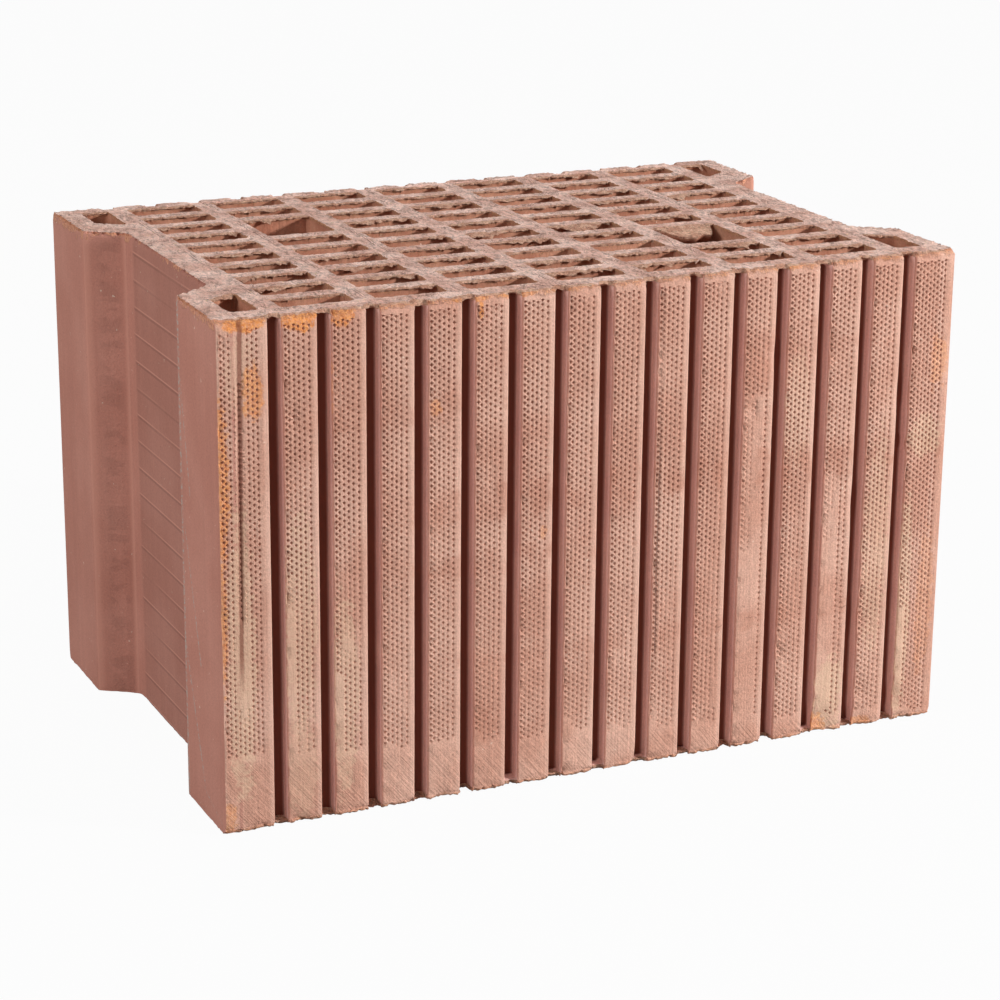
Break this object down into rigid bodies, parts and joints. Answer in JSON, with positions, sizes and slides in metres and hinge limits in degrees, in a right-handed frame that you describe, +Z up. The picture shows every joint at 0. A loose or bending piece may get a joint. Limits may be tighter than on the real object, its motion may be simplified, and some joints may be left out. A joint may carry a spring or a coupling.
{
  "type": "hollow clay block",
  "caption": "Perforated fired-clay wall block with ribbed, dimpled faces, rows of through slots, grip holes and a mortar pocket down each end.",
  "frame": {"origin": "centre of the bottom bed", "axes": "+X along the length, from one mortar pocket to the other; +Y through the wall, from the front face to the back; +Z up, to the top bed"},
  "size_m": [0.375, 0.25, 0.24],
  "materials": {
    "fired_clay": "unglazed fired clay, knurled lands, wire-cut beds"
  },
  "bodies": {
    "root": {"clay_block": "fired_clay"}
  },
  "joints": []
}
